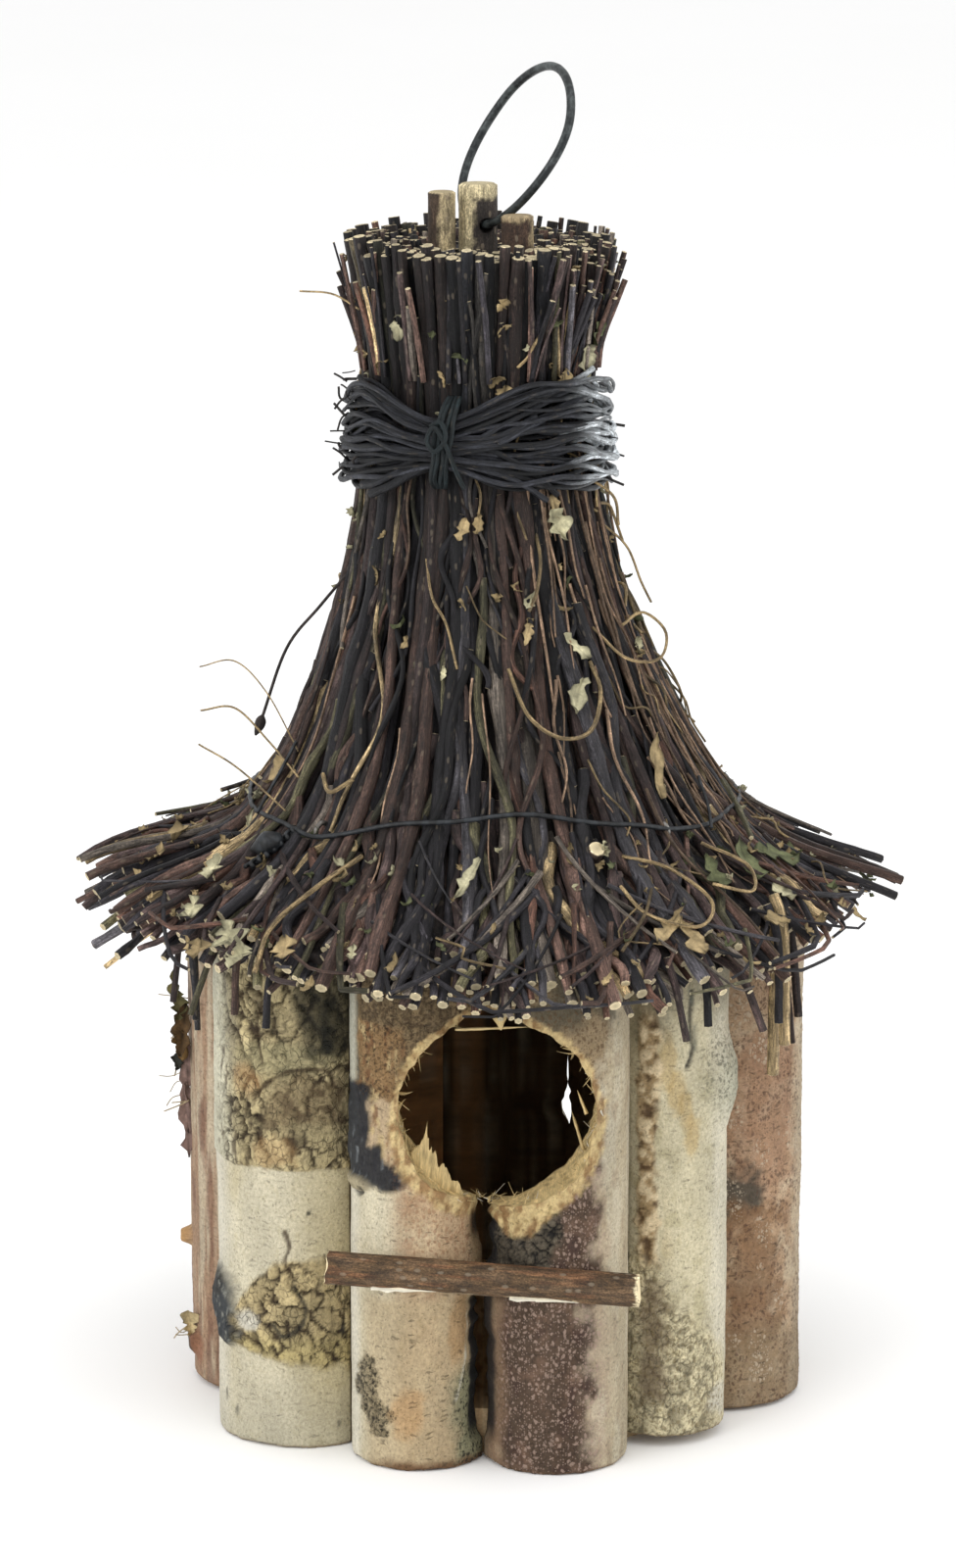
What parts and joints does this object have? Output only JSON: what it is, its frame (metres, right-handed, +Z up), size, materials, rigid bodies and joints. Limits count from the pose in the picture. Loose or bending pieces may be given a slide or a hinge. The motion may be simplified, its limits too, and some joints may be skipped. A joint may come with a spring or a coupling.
{
  "type": "birdhouse",
  "caption": "Rustic birdhouse: a ring of birch half logs round a floor and ceiling, a round entrance and perch, and a bound, flared twig roof with a wire hanging ring.",
  "frame": {"origin": "middle of the floor disc's underside, level with the longest logs' feet", "axes": "+Z up, the entrance and perch towards -Y, +X to the right seen from the front"},
  "size_m": [0.1598, 0.1602, 0.2632],
  "materials": {
    "birch_bark": "rough bark",
    "cut_wood": "sawn, unfinished",
    "perch_wood": "bark on, split face raw",
    "stake_wood": "bark on, cut tops raw",
    "twig_thatch": "bark on, dull",
    "dark_binding": "satin bark",
    "black_wire": "black annealed",
    "steel_brads": "dull"
  },
  "bodies": {
    "house": {"log_front_left": "birch_bark", "log_front_right": "birch_bark", "log_right": "birch_bark", "log_far_right": "birch_bark", "log_back_1": "birch_bark", "log_back_2": "birch_bark", "log_back_3": "birch_bark", "log_back_4": "birch_bark", "log_back_5": "birch_bark", "log_far_left": "birch_bark", "log_left": "birch_bark", "log_brads": "steel_brads", "floor_disc": "cut_wood", "ceiling_disc": "cut_wood", "perch_stick": "perch_wood", "perch_brads": "steel_brads", "stake_tall": "stake_wood", "stake_slim": "stake_wood", "stake_short": "stake_wood", "thatch_core": "twig_thatch", "twig_sheaf_01": "twig_thatch", "twig_sheaf_02": "twig_thatch", "twig_sheaf_03": "twig_thatch", "twig_sheaf_04": "twig_thatch", "twig_sheaf_05": "twig_thatch", "twig_sheaf_06": "twig_thatch", "twig_sheaf_07": "twig_thatch", "twig_sheaf_08": "twig_thatch", "twig_sheaf_09": "twig_thatch", "twig_sheaf_10": "twig_thatch", "twig_sheaf_11": "twig_thatch", "twig_sheaf_12": "twig_thatch", "twig_sheaf_13": "twig_thatch", "neck_binding": "dark_binding", "binding_tie": "black_wire", "flare_wire": "black_wire", "wire_staples": "steel_brads"},
    "hanger": {"hanger_ring": "black_wire"}
  },
  "joints": [
    {"name": "hanger_swing", "type": "hinge", "parent": "house", "child": "hanger", "pos_m": [-0.0026, 0.004, 0.2328], "axis": [0.4493, -0.8934, 0], "range_deg": [-52, 100]}
  ]
}
